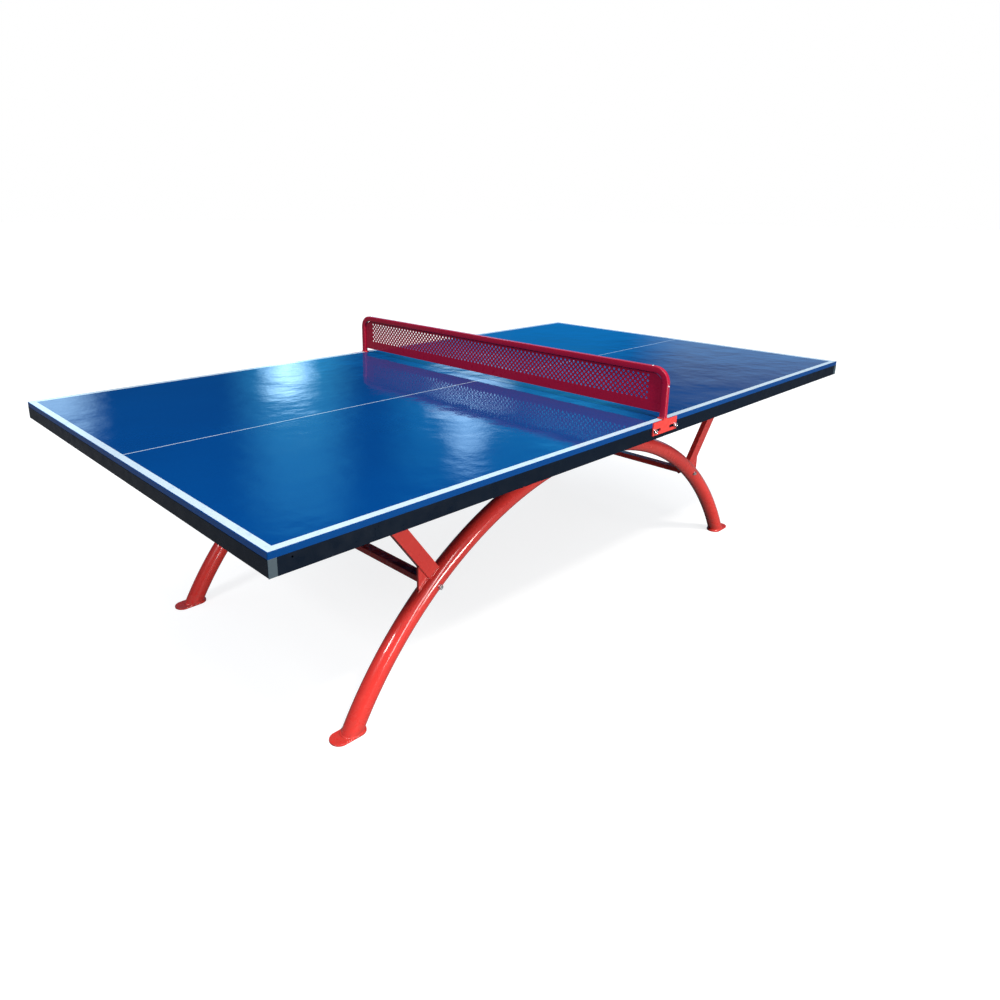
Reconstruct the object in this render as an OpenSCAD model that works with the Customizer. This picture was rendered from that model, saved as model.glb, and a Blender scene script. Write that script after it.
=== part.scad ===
// Outdoor ping pong table: two moulded half tops on steel tube frames,
// carried by two arched legs, with a perforated steel net across the middle.
// +X runs along the table, +Y across it, +Z up. The origin is on the floor
// under the middle of the net. Millimetres.

/* [Table] */
// Length of the playing surface
table_l = 2740; // [2700:10:2780]
// Width of the playing surface
table_w = 1525; // [1480:5:1560]
// Height of the playing surface above the floor
table_h = 760; // [740:5:800]
// Gap between the two half tops
seam_gap = 2; // [1:0.5:4]

/* [Moulded tops] */
// Thickness of the moulded skin
skin_t = 5; // [4:0.5:8]
// Depth of the turned-down edge
edge_d = 15; // [12:1:20]
// Thickness of the turned-down edge and of the ribs
edge_t = 5; // [4:0.5:8]
// Corner radius of the tops in plan
corner_r = 3; // [1:0.5:8]

/* [Steel frames] */
// Height of every frame tube
tube_h = 40; // [35:1:50]
// Width of the rails round the edge
rail_w = 20; // [20:1:30]
// Width of the lengthwise bearers over the legs
bearer_w = 30; // [25:1:40]
// Wall of the frame tubes
tube_t = 2; // [1.5:0.5:3]
// Thickness of the flange of a rail end cap
cap_t = 1.5; // [1:0.5:3]

/* [Arched legs] */
// Distance between the two arches, centre to centre
arch_gap = 965; // [900:5:1000]
// Half the span of an arch at the floor, on its centre line
arch_half_span = 1006; // [960:2:1040]
// Height of the crown, on the centre line of the tube
arch_crown_h = 595; // [570:5:610]
// Outside diameter of the arch tube
arch_d = 58; // [50:1:64]
// Wall of the arch tube
arch_wall = 3; // [2:0.5:4]
// Length of a foot plate
foot_l = 112; // [100:2:130]
// Width of a foot plate
foot_w = 58; // [52:2:80]
// Thickness of a foot plate
foot_t = 6; // [4:1:10]

/* [Braces and cross beams] */
// Distance from the middle to the foot of a brace, along the table
brace_x = 692; // [684:2:700]
// Width of a brace, in the plane of the arch
brace_w = 44; // [38:1:50]
// Depth of a brace, across the table
brace_d = 20; // [16:1:40]
// Distance from the middle to the outer edge of a gusset
gusset_x = 763; // [755:1:775]
// Thickness of a gusset
gusset_t = 8; // [5:1:12]
// Distance from the middle to a cross beam, along the table
beam_x = 704; // [698:1:710]
// Height of the middle of a cross beam above the floor
beam_z = 346; // [342:1:350]
// Width of the flat cross beams
beam_w = 36; // [30:1:44]
// Height of the cross beams
beam_h = 20; // [20:1:24]
// Thickness of the welded plates
plate_t = 6; // [4:1:8]

/* [Net] */
// Height of the net above the playing surface
net_h = 160; // [150:1:170]
// Face width of the net frame tube
net_tube_w = 20; // [18:1:24]
// Depth of the net frame tube, along the table
net_tube_d = 15; // [12:1:20]
// Outside corner radius of the net frame
net_corner_r = 50; // [44:1:60]
// Thickness of the perforated panel
panel_t = 2; // [1.5:0.5:3]
// Clear gap between the panel and the playing surface
panel_gap = 18; // [12:1:24]
// Diameter of the holes in the panel
hole_d = 8; // [6:0.5:9]
// Spacing of the holes along and up the panel
hole_pitch = 18; // [17:0.5:20]
// Width of the net brackets
bracket_w = 132; // [128:2:150]
// Height of the net brackets below the playing surface
bracket_drop = 41; // [36:1:41]
// Thickness of the net brackets
bracket_t = 4; // [3:0.5:5]

/* [Hidden] */
// Levels
rail_top = table_h - edge_d;
rail_bot = rail_top - tube_h;
rail_mid = rail_top - tube_h / 2;
plate_top = rail_bot;
plate_bot = plate_top - plate_t;
net_top = table_h + net_h;

// Plan
half_l = table_l / 2;
half_w = table_w / 2;
seam_x = seam_gap / 2;
arch_y = arch_gap / 2;

// Arch: a circle through both feet and the crown
arch_r = (arch_half_span * arch_half_span + arch_crown_h * arch_crown_h) / (2 * arch_crown_h);
arch_zc = arch_crown_h - arch_r;
function arch_z(x) = arch_zc + sqrt(arch_r * arch_r - x * x);
function arch_x(z) = sqrt(arch_r * arch_r - (z - arch_zc) * (z - arch_zc));
brace_z = arch_z(brace_x);
brace_tilt = asin(brace_x / arch_r);

// Feet: the plate reaches further outwards than inwards
foot_lean = 14;
foot_x = arch_x(foot_t) + foot_lean;

// Ends of the cross beams, closed by plates that stand out on every side
beam_plate_y = arch_y - arch_d / 2;
beam_plate_rim = 2;
beam_end_y = beam_plate_y - plate_t;

// Plates bolted up to the bearers
brace_top_x = brace_x + (plate_bot - brace_z) * tan(brace_tilt);
brace_plate_l = 130;
brace_plate_x = brace_top_x - 8;
brace_bolt_x = 48;
crown_plate_l = 250;
crown_bolts = [88, 114];
crown_post_l = 140;
crown_post_w = 50;
crown_post_t = 3;
plate_w = 40;

// M8 fasteners
m8_r = 4;
m8_hole_r = 4.5;
m8_head_af = 13;
m8_head_h = 5.3;
m8_nut_h = 6.5;
m8_washer_r = 8;
m8_washer_t = 1.6;
thread_gap = 0.05;

// Fixings of the tops
tab_l = 30;
tab_w = 28;
tab_t = 3;
tab_at = [250, 700, 1150];
boss_r = 8;
boss_y = half_w - rail_w - 14;
screw_r = 2.1;
screw_head_r = 4.5;
screw_head_h = 2.5;

// Ribs of the tops: places along and across
rib_x = [230, 460, 690, 920, 1150];
rib_y = [0, 241, arch_y, boss_y];

// Net
net_half_w = half_w + bracket_t;
net_wall = 2;
panel_half_w = net_half_w - net_tube_w;
panel_bot = table_h + panel_gap;
panel_top = net_top - net_tube_w;
panel_corner_r = net_corner_r - net_tube_w + 12;
hole_cols = floor((2 * panel_half_w - 100) / hole_pitch);
hole_rows = 4;
lip_l = 20;
lip_w = 24;
slot_h = 10;
slot_in = 24;
slot_out = 62;
bracket_bolt_x = slot_out - slot_h / 2;
bracket_bolt_z = rail_bot + 28;
net_screw_r = 2;
net_screw_head_r = 4;
net_screw_head_h = 2.2;
net_screw_y = net_half_w - net_corner_r - 10;
net_screw_z = net_top - net_corner_r - 6;

// Small hole near the outer end of each side rail
vent_r = 2.5;
vent_x = half_l - 53;
vent_z = rail_top - 10;

blue = [0.05, 0.30, 0.58];
navy = [0.03, 0.09, 0.15];
grey = [0.20, 0.27, 0.30];
red = [0.85, 0.22, 0.20];
crimson = [0.57, 0.11, 0.21];
steel = [0.75, 0.76, 0.78];

$fn = 48;

// ---- Placing ----

// Parts are drawn for the right end and the far side (+X, +Y) and turned over
// for the others: sx is -1 for the left end, sy is -1 for the near side.
module place(sx = 1, sy = 1) {
    mirror([sx < 0 ? 1 : 0, 0, 0])
        mirror([0, sy < 0 ? 1 : 0, 0])
            children();
}

module all_corners() {
    for (sx = [-1, 1], sy = [-1, 1])
        place(sx, sy) children();
}

module box(lo, hi) {
    translate(lo) cube(hi - lo);
}

// ---- Stock ----

// Rectangular tube, open at both ends, between two corners along one axis
module tube_along_x(lo, hi, wall) {
    difference() {
        box(lo, hi);
        box([lo.x - 1, lo.y + wall, lo.z + wall], [hi.x + 1, hi.y - wall, hi.z - wall]);
    }
}

module tube_along_y(lo, hi, wall) {
    difference() {
        box(lo, hi);
        box([lo.x + wall, lo.y - 1, lo.z + wall], [hi.x - wall, hi.y + 1, hi.z - wall]);
    }
}

// Rectangular tube standing on the XY plane, centred on Z
module tube_up(w, d, h, wall) {
    difference() {
        translate([-w / 2, -d / 2, 0]) cube([w, d, h]);
        translate([-w / 2 + wall, -d / 2 + wall, -1])
            cube([w - 2 * wall, d - 2 * wall, h + 2]);
    }
}

// The full ring that an arch is cut from, r being the radius of the section
module ring(r) {
    translate([0, arch_y, arch_zc])
        rotate([90, 0, 0])
            rotate_extrude($fn = 180)
                translate([arch_r, 0])
                    circle(r);
}

// Flat outline with rounded corners
module rounded(lo, hi, r) {
    translate([lo.x + r, lo.y]) square([hi.x - lo.x - 2 * r, hi.y - lo.y]);
    translate([lo.x, lo.y + r]) square([hi.x - lo.x, hi.y - lo.y - 2 * r]);
    for (x = [lo.x + r, hi.x - r], y = [lo.y + r, hi.y - r])
        translate([x, y]) circle(r);
}

// Fasteners stand on the XY plane. Bolts point up from under their heads.
module bolt(r, head_af, head_h, length) {
    translate([0, 0, -head_h]) cylinder(r = head_af / sqrt(3), h = head_h, $fn = 6);
    cylinder(r = r, h = length);
}

module washer(r_out, r_in, t) {
    difference() {
        cylinder(r = r_out, h = t);
        translate([0, 0, -1]) cylinder(r = r_in, h = t + 2);
    }
}

module nut(af, r_in, h) {
    difference() {
        cylinder(r = af / sqrt(3), h = h, $fn = 6);
        translate([0, 0, -1]) cylinder(r = r_in, h = h + 2);
    }
}

// ---- Tops ----

module half_top(sx) {
    color(blue) place(sx) difference() {
        union() {
            translate([0, 0, table_h - skin_t])
                linear_extrude(skin_t)
                    rounded([seam_x, -half_w], [half_l, half_w], corner_r);
            translate([0, 0, rail_top])
                linear_extrude(edge_d)
                    difference() {
                        rounded([seam_x, -half_w], [half_l, half_w], corner_r);
                        translate([seam_x + edge_t, -half_w + edge_t])
                            square([half_l - seam_x - 2 * edge_t, table_w - 2 * edge_t]);
                    }
            for (x = rib_x)
                box([x - edge_t / 2, -half_w + 1, rail_top], [x + edge_t / 2, half_w - 1, table_h - 1]);
            for (y = rib_y, side = y == 0 ? [1] : [-1, 1])
                box([seam_x + 1, side * y - edge_t / 2, rail_top],
                    [half_l - 1, side * y + edge_t / 2, table_h - 1]);
            for (x = tab_at, side = [-1, 1])
                translate([x, side * boss_y, rail_top]) cylinder(r = boss_r, h = edge_d - 1);
        }
        for (x = tab_at, side = [-1, 1])
            translate([x, side * boss_y, rail_top - 1]) cylinder(r = screw_r + thread_gap, h = 9);
    }
}

// ---- Frames ----

module end_rail(sx) {
    color(navy) place(sx)
        tube_along_y([half_l - rail_w, -half_w + cap_t, rail_bot],
                     [half_l, half_w - cap_t, rail_top], tube_t);
}

module side_rail(sx, sy) {
    color(navy) place(sx, sy) difference() {
        tube_along_x([seam_x, half_w - rail_w, rail_bot],
                     [half_l - rail_w, half_w, rail_top], tube_t);
        translate([bracket_bolt_x, half_w - tube_t - 1, bracket_bolt_z])
            rotate([-90, 0, 0]) cylinder(r = m8_hole_r, h = tube_t + 2);
        translate([vent_x, half_w - tube_t - 1, vent_z])
            rotate([-90, 0, 0]) cylinder(r = vent_r, h = tube_t + 2);
    }
}

module seam_rail(sx) {
    color(navy) place(sx)
        tube_along_y([seam_x, -half_w + rail_w, rail_bot],
                     [seam_x + rail_w, half_w - rail_w, rail_top], tube_t);
}

// Places of the bolts that hold the leg frame to one bearer
bearer_bolts = concat(crown_bolts, [brace_plate_x - brace_bolt_x, brace_plate_x + brace_bolt_x]);

module bearer(sx, sy) {
    color(navy) place(sx, sy) difference() {
        tube_along_x([seam_x + rail_w, arch_y - bearer_w / 2, rail_bot],
                     [half_l - rail_w, arch_y + bearer_w / 2, rail_top], tube_t);
        for (x = bearer_bolts)
            translate([x, arch_y, rail_bot - 1]) cylinder(r = m8_hole_r, h = tube_t + 2);
    }
}

module rail_end_caps() {
    plug_gap = 0.1;
    plug_l = 10;
    color(grey) all_corners() {
        box([half_l - rail_w, half_w - cap_t, rail_bot], [half_l, half_w, rail_top]);
        box([half_l - rail_w + tube_t + plug_gap, half_w - cap_t - plug_l, rail_bot + tube_t + plug_gap],
            [half_l - tube_t - plug_gap, half_w - cap_t + 0.5, rail_top - tube_t - plug_gap]);
    }
}

module top_tabs(sx) {
    color(navy) for (x = tab_at, sy = [-1, 1])
        place(sx, sy) difference() {
            box([x - tab_l / 2, half_w - rail_w - tab_w, rail_top - tab_t],
                [x + tab_l / 2, half_w - rail_w, rail_top]);
            translate([x, boss_y, rail_top - tab_t - 1]) cylinder(r = screw_r + 0.4, h = tab_t + 2);
        }
}

module top_screws() {
    color(steel) all_corners()
        for (x = tab_at)
            translate([x, boss_y, rail_top - tab_t]) {
                translate([0, 0, -screw_head_h]) cylinder(r = screw_head_r, h = screw_head_h);
                cylinder(r = screw_r, h = 10);
            }
}

// ---- Legs ----

module arch(sy) {
    reach = arch_half_span + arch_d;
    color(red) place(1, sy) difference() {
        intersection() {
            difference() {
                ring(arch_d / 2);
                ring(arch_d / 2 - arch_wall);
            }
            box([-reach, arch_y - arch_d, foot_t], [reach, arch_y + arch_d, table_h]);
        }
        for (side = [-1, 1])
            translate([side * beam_x, arch_y - arch_d, beam_z])
                rotate([-90, 0, 0]) cylinder(r = m8_hole_r, h = 2 * arch_d);
    }
}

module foot_plate(sx, sy) {
    color(red) place(sx, sy) translate([foot_x, arch_y, 0])
        linear_extrude(foot_t)
            union() {
                square([foot_l - foot_w, foot_w], center = true);
                for (end = [-1, 1])
                    translate([end * (foot_l - foot_w) / 2, 0]) circle(foot_w / 2);
            }
}

module crown_post(sy) {
    color(red) place(1, sy) difference() {
        translate([0, arch_y, arch_crown_h])
            tube_up(crown_post_l, crown_post_w, plate_bot - arch_crown_h, crown_post_t);
        ring(arch_d / 2);
    }
}

module crown_plate(sy) {
    color(red) place(1, sy) difference() {
        box([-crown_plate_l / 2, arch_y - plate_w / 2 - 5, plate_bot],
            [crown_plate_l / 2, arch_y + plate_w / 2 + 5, plate_top]);
        for (x = crown_bolts, side = [-1, 1])
            translate([side * x, arch_y, plate_bot - 1]) cylinder(r = m8_hole_r, h = plate_t + 2);
    }
}

module brace(sx, sy) {
    run = (plate_bot - brace_z) / cos(brace_tilt) + brace_w;
    inside_arch = arch_d / 2 - 12;
    color(red) place(sx, sy) difference() {
        translate([brace_x, arch_y, brace_z])
            rotate([0, brace_tilt, 0])
                translate([0, 0, inside_arch])
                    tube_up(brace_w, brace_d, run, tube_t);
        ring(arch_d / 2);
        box([brace_x, arch_y - brace_d, plate_bot], [half_l, arch_y + brace_d, plate_bot + 2 * brace_w]);
    }
}

// Triangle between the outer side of a brace and the top of the arch
module gusset(sx, sy) {
    up = [sin(brace_tilt), cos(brace_tilt)];
    foot = [brace_x + up.y * brace_w / 2, brace_z - up.x * brace_w / 2];
    top = foot + up * (gusset_x - foot.x) / up.x;
    color(red) place(sx, sy) difference() {
        translate([0, arch_y + gusset_t / 2, 0])
            rotate([90, 0, 0])
                linear_extrude(gusset_t)
                    polygon([foot, [gusset_x, arch_z(gusset_x)], top]);
        ring(arch_d / 2);
    }
}

module brace_plate(sx, sy) {
    color(red) place(sx, sy) difference() {
        box([brace_plate_x - brace_plate_l / 2, arch_y - plate_w / 2, plate_bot],
            [brace_plate_x + brace_plate_l / 2, arch_y + plate_w / 2, plate_top]);
        for (side = [-1, 1])
            translate([brace_plate_x + side * brace_bolt_x, arch_y, plate_bot - 1])
                cylinder(r = m8_hole_r, h = plate_t + 2);
    }
}

module cross_beam(sx) {
    color(red) place(sx)
        tube_along_y([beam_x - beam_w / 2, -beam_end_y, beam_z - beam_h / 2],
                     [beam_x + beam_w / 2, beam_end_y, beam_z + beam_h / 2], tube_t);
}

module beam_plate(sx, sy) {
    out_x = beam_w / 2 + beam_plate_rim;
    out_z = beam_h / 2 + beam_plate_rim;
    color(red) place(sx, sy) difference() {
        box([beam_x - out_x, beam_end_y, beam_z - out_z], [beam_x + out_x, beam_plate_y, beam_z + out_z]);
        translate([beam_x, beam_end_y - 1, beam_z])
            rotate([-90, 0, 0]) cylinder(r = m8_hole_r, h = plate_t + 2);
    }
}

// ---- Fasteners of the legs ----

// Moves a fastener to the end of a cross beam, pointing inwards through the arch
module at_beam_ends(y) {
    all_corners()
        translate([beam_x, y, beam_z]) rotate([90, 0, 0]) children();
}

leg_head_y = arch_y + arch_d / 2 + m8_washer_t;

module leg_bolts() {
    color(steel) at_beam_ends(leg_head_y)
        bolt(m8_r, m8_head_af, m8_head_h, leg_head_y - beam_end_y + m8_nut_h + 3);
}

module leg_bolt_washers() {
    color(steel) at_beam_ends(leg_head_y)
        washer(m8_washer_r, m8_r + 0.2, m8_washer_t);
}

module leg_weld_nuts() {
    color(steel) at_beam_ends(beam_end_y)
        nut(m8_head_af, m8_r + thread_gap, m8_nut_h);
}

module at_bearer_bolts(z) {
    all_corners()
        for (x = bearer_bolts)
            translate([x, arch_y, z]) children();
}

module frame_bolts() {
    color(steel) at_bearer_bolts(plate_bot - m8_washer_t)
        bolt(m8_r, m8_head_af, m8_head_h, m8_washer_t + plate_t + tube_t + m8_nut_h + 2);
}

module frame_bolt_washers() {
    color(steel) at_bearer_bolts(plate_bot - m8_washer_t)
        washer(m8_washer_r, m8_r + 0.2, m8_washer_t);
}

module frame_weld_nuts() {
    color(steel) at_bearer_bolts(rail_bot + tube_t)
        nut(m8_head_af, m8_r + thread_gap, m8_nut_h);
}

// ---- Net ----

// Outline of the net frame in the plane of the net: y across, z up
module net_outline(inset, corner) {
    half = net_half_w - inset;
    top = net_top - inset;
    foot = table_h + bracket_t;
    polygon([[-half, foot], [half, foot], [half, top - corner], [half - corner, top],
             [-half + corner, top], [-half, top - corner]]);
    for (side = [-1, 1])
        translate([side * (half - corner), top - corner]) circle(corner, $fn = 96);
}

// A flat outline in the plane of the net, given its thickness along X
module in_net_plane(t) {
    translate([-t / 2, 0, 0])
        rotate([90, 0, 90])
            linear_extrude(t) children();
}

module net_frame() {
    inner_corner = net_corner_r - net_tube_w;
    foot = table_h + bracket_t;
    color(crimson) difference() {
        in_net_plane(net_tube_d) difference() {
            net_outline(0, net_corner_r);
            net_outline(net_tube_w, inner_corner);
            translate([-panel_half_w, foot - 1]) square([2 * panel_half_w, 10]);
        }
        in_net_plane(net_tube_d - 2 * net_wall) difference() {
            net_outline(net_wall, net_corner_r - net_wall);
            net_outline(net_tube_w - net_wall, inner_corner + net_wall);
            translate([-panel_half_w - net_wall, foot - 1]) square([2 * (panel_half_w + net_wall), 10]);
        }
        for (sy = [-1, 1]) {
            translate([0, sy * net_screw_y, net_top - net_wall - 1])
                cylinder(r = net_screw_r + 0.1, h = net_wall + 2);
            place(1, sy) translate([0, net_half_w - net_wall - 1, net_screw_z])
                rotate([-90, 0, 0]) cylinder(r = net_screw_r + 0.1, h = net_wall + 2);
        }
    }
}

module net_panel() {
    field_z = (panel_bot + panel_top) / 2 + 12.5;
    color(crimson) in_net_plane(panel_t) difference() {
        union() {
            translate([-panel_half_w, panel_bot])
                square([2 * panel_half_w, panel_top - panel_bot - panel_corner_r]);
            translate([-panel_half_w + panel_corner_r, panel_bot])
                square([2 * (panel_half_w - panel_corner_r), panel_top - panel_bot]);
            for (side = [-1, 1])
                translate([side * (panel_half_w - panel_corner_r), panel_top - panel_corner_r])
                    circle(panel_corner_r, $fn = 96);
        }
        for (col = [0 : hole_cols], row = [0 : hole_rows])
            translate([(col - hole_cols / 2) * hole_pitch, field_z + (row - hole_rows / 2) * hole_pitch])
                circle(hole_d / 2, $fn = 24);
        for (col = [0.5 : hole_cols - 0.5], row = [0.5 : hole_rows - 0.5])
            translate([(col - hole_cols / 2) * hole_pitch, field_z + (row - hole_rows / 2) * hole_pitch])
                circle(hole_d / 2, $fn = 24);
    }
}

module net_screw() {
    cylinder(r = net_screw_head_r, h = net_screw_head_h);
    translate([0, 0, -6]) cylinder(r = net_screw_r, h = 6);
}

module net_screws() {
    color(steel) for (sy = [-1, 1]) place(1, sy) {
        translate([0, net_screw_y, net_top]) net_screw();
        translate([0, net_half_w, net_screw_z]) rotate([-90, 0, 0]) net_screw();
    }
}

module net_bracket(sy) {
    color(red) place(1, sy) {
        translate([0, half_w + bracket_t, 0]) rotate([90, 0, 0]) linear_extrude(bracket_t)
            difference() {
                union() {
                    translate([-bracket_w / 2, table_h - bracket_drop]) square([bracket_w, bracket_drop]);
                    translate([-lip_l / 2, table_h - 1]) square([lip_l, bracket_t + 1]);
                }
                for (side = [-1, 1]) {
                    translate([side * (slot_in + slot_out) / 2, bracket_bolt_z])
                        square([slot_out - slot_in - slot_h, slot_h], center = true);
                    for (end = [slot_in + slot_h / 2, slot_out - slot_h / 2])
                        translate([side * end, bracket_bolt_z]) circle(slot_h / 2);
                }
            }
        box([-lip_l / 2, half_w + bracket_t - lip_w, table_h], [lip_l / 2, half_w + 1, table_h + bracket_t]);
    }
}

module at_bracket_bolts(y) {
    all_corners()
        translate([bracket_bolt_x, y, bracket_bolt_z]) rotate([90, 0, 0]) children();
}

bracket_head_y = net_half_w + m8_washer_t;

module net_bracket_bolts() {
    color(steel) at_bracket_bolts(bracket_head_y)
        bolt(m8_r, m8_head_af, m8_head_h, m8_washer_t + bracket_t + tube_t + m8_nut_h + 1);
}

module net_bracket_washers() {
    color(steel) at_bracket_bolts(bracket_head_y)
        washer(m8_washer_r, m8_r + 0.2, m8_washer_t);
}

module net_bracket_weld_nuts() {
    color(steel) at_bracket_bolts(half_w - tube_t)
        nut(m8_head_af, m8_r + thread_gap, m8_nut_h);
}

// ---- The assembly ----

half_top(-1);  // half_top_left
half_top(1);  // half_top_right
end_rail(-1);  // end_rail_left
end_rail(1);  // end_rail_right
side_rail(-1, -1);  // side_rail_left_near
side_rail(-1, 1);  // side_rail_left_far
side_rail(1, -1);  // side_rail_right_near
side_rail(1, 1);  // side_rail_right_far
seam_rail(-1);  // seam_rail_left
seam_rail(1);  // seam_rail_right
bearer(-1, -1);  // bearer_left_near
bearer(-1, 1);  // bearer_left_far
bearer(1, -1);  // bearer_right_near
bearer(1, 1);  // bearer_right_far
rail_end_caps();
top_tabs(-1);  // top_tabs_left
top_tabs(1);  // top_tabs_right
top_screws();
arch(-1);  // arch_near
arch(1);  // arch_far
foot_plate(-1, -1);  // foot_plate_left_near
foot_plate(-1, 1);  // foot_plate_left_far
foot_plate(1, -1);  // foot_plate_right_near
foot_plate(1, 1);  // foot_plate_right_far
crown_post(-1);  // crown_post_near
crown_post(1);  // crown_post_far
crown_plate(-1);  // crown_plate_near
crown_plate(1);  // crown_plate_far
brace(-1, -1);  // brace_left_near
brace(-1, 1);  // brace_left_far
brace(1, -1);  // brace_right_near
brace(1, 1);  // brace_right_far
gusset(-1, -1);  // gusset_left_near
gusset(-1, 1);  // gusset_left_far
gusset(1, -1);  // gusset_right_near
gusset(1, 1);  // gusset_right_far
brace_plate(-1, -1);  // brace_plate_left_near
brace_plate(-1, 1);  // brace_plate_left_far
brace_plate(1, -1);  // brace_plate_right_near
brace_plate(1, 1);  // brace_plate_right_far
cross_beam(-1);  // cross_beam_left
cross_beam(1);  // cross_beam_right
beam_plate(-1, -1);  // beam_plate_left_near
beam_plate(-1, 1);  // beam_plate_left_far
beam_plate(1, -1);  // beam_plate_right_near
beam_plate(1, 1);  // beam_plate_right_far
leg_bolts();
leg_bolt_washers();
leg_weld_nuts();
frame_bolts();
frame_bolt_washers();
frame_weld_nuts();
net_frame();
net_panel();
net_screws();
net_bracket(-1);  // net_bracket_near
net_bracket(1);  // net_bracket_far
net_bracket_bolts();
net_bracket_washers();
net_bracket_weld_nuts();
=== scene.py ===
import math

import bmesh
import bpy
from mathutils import Matrix, Vector


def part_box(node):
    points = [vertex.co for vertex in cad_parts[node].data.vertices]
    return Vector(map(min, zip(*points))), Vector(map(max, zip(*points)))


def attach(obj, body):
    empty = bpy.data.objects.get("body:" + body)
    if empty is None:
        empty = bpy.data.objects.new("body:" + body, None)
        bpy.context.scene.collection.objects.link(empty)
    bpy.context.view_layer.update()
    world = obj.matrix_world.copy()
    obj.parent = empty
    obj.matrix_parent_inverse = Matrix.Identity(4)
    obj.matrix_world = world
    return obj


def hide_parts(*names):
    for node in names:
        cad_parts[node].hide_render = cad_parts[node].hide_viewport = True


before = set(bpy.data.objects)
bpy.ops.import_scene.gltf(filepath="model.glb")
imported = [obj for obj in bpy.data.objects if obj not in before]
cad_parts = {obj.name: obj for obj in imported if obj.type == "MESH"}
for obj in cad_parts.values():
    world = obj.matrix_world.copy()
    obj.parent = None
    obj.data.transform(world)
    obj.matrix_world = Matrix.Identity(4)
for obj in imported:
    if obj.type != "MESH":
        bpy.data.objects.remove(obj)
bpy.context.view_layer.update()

scene = bpy.context.scene

# ---- Camera ----
# Off the left end of the near side, at the eye height of a short player, looking down the table.
camera_data = bpy.data.cameras.new("camera")
camera = bpy.data.objects.new("camera", camera_data)
scene.collection.objects.link(camera)
scene.camera = camera
camera_data.sensor_width = 36
camera_data.lens = 26.848
camera_data.shift_x = 0.045
camera_data.shift_y = -0.0674
camera_data.clip_end = 300
yaw = math.radians(46.331)
pitch = math.radians(16.699)
roll = math.radians(0.414)
forward = Vector((math.cos(yaw) * math.cos(pitch), math.sin(yaw) * math.cos(pitch), -math.sin(pitch)))
level_right = Vector((math.sin(yaw), -math.cos(yaw), 0))
level_up = level_right.cross(forward)
right = level_right * math.cos(roll) + level_up * math.sin(roll)
up = level_up * math.cos(roll) - level_right * math.sin(roll)
turned_view = Matrix((right, up, -forward)).transposed().to_4x4()
camera.matrix_world = Matrix.Translation((-1.9895, -1.9147, 1.3745)) @ turned_view

# ---- Floor and light ----
# A plain pale floor that runs out of sight and a dim room with a bright ceiling. Soft windows past
# the far side are mirrored by the glossy top, and one behind the near side by the legs. Three soft
# boxes light the table: one high over the near side, one low in front of it and one to the left.


def new_tree(material):
    material.use_nodes = True
    material.node_tree.nodes.clear()
    return material.node_tree


def node(tree, kind, inputs=None, **settings):
    made = tree.nodes.new(kind)
    for key, value in settings.items():
        setattr(made, key, value)
    for key, value in (inputs or {}).items():
        if isinstance(value, bpy.types.NodeSocket):
            tree.links.new(value, made.inputs[key])
        else:
            made.inputs[key].default_value = value
    return made


floor_half = 70
floor_mesh = bpy.data.meshes.new("floor")
floor_mesh.from_pydata(
    [(-floor_half, -floor_half, 0), (floor_half, -floor_half, 0),
     (floor_half, floor_half, 0), (-floor_half, floor_half, 0)], [], [(0, 1, 2, 3)])
floor = bpy.data.objects.new("floor", floor_mesh)
scene.collection.objects.link(floor)
floor_paint = bpy.data.materials.new("pale_floor")
tree = new_tree(floor_paint)
# The floor sends little light back up under the table, and its shadows are filled
bounced = (0.14, 0.14, 0.14, 1)
plain = (0.30, 0.30, 0.30, 1)
ray = node(tree, "ShaderNodeLightPath")
tone = node(tree, "ShaderNodeMix", {
    0: ray.outputs["Is Camera Ray"], 6: bounced, 7: plain}, data_type="RGBA")
shader = node(tree, "ShaderNodeBsdfPrincipled", {
    "Base Color": tone.outputs[2], "Roughness": 1.0, "Specular IOR Level": 0.0,
    "Emission Color": (1, 1, 1, 1)})
shadow_fill = 0.80
filled = node(tree, "ShaderNodeMath", {
    0: ray.outputs["Is Camera Ray"], 1: shadow_fill}, operation="MULTIPLY")
tree.links.new(filled.outputs[0], shader.inputs["Emission Strength"])
node(tree, "ShaderNodeOutputMaterial", {"Surface": shader.outputs[0]})
floor_mesh.materials.append(floor_paint)

room = bpy.data.worlds.new("room")
scene.world = room
room.use_nodes = True
tree = room.node_tree
tree.nodes.clear()
heading = node(tree, "ShaderNodeTexCoord")
height = node(tree, "ShaderNodeSeparateXYZ", {"Vector": heading.outputs["Generated"]})
ramp = node(tree, "ShaderNodeValToRGB", {"Fac": height.outputs["Z"]})
# From the floor to the ceiling: how high, as a share, and the light there
room_tones = (
    (0.0, (0.010, 0.040, 0.080)), (0.45, (0.006, 0.030, 0.070)),
    (0.72, (0.45, 0.55, 0.70)), (0.90, (1.50, 1.55, 1.62)))
while len(ramp.color_ramp.elements) < len(room_tones):
    ramp.color_ramp.elements.new(0.5)
for stop, (place, tone) in zip(ramp.color_ramp.elements, room_tones):
    stop.position = place
    stop.color = (*tone, 1)


def maths(tree, kind, a, b=0.0, c=0.0):
    made = tree.nodes.new("ShaderNodeMath")
    made.operation = kind
    for place, value in zip((0, 1, 2), (a, b, c)):
        if isinstance(value, bpy.types.NodeSocket):
            tree.links.new(value, made.inputs[place])
        else:
            made.inputs[place].default_value = value
    return made.outputs[0]


compass = maths(tree, "ARCTAN2", height.outputs["Y"], height.outputs["X"])
lift = maths(tree, "ARCSINE", height.outputs["Z"])
glow = ramp.outputs[0]
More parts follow.
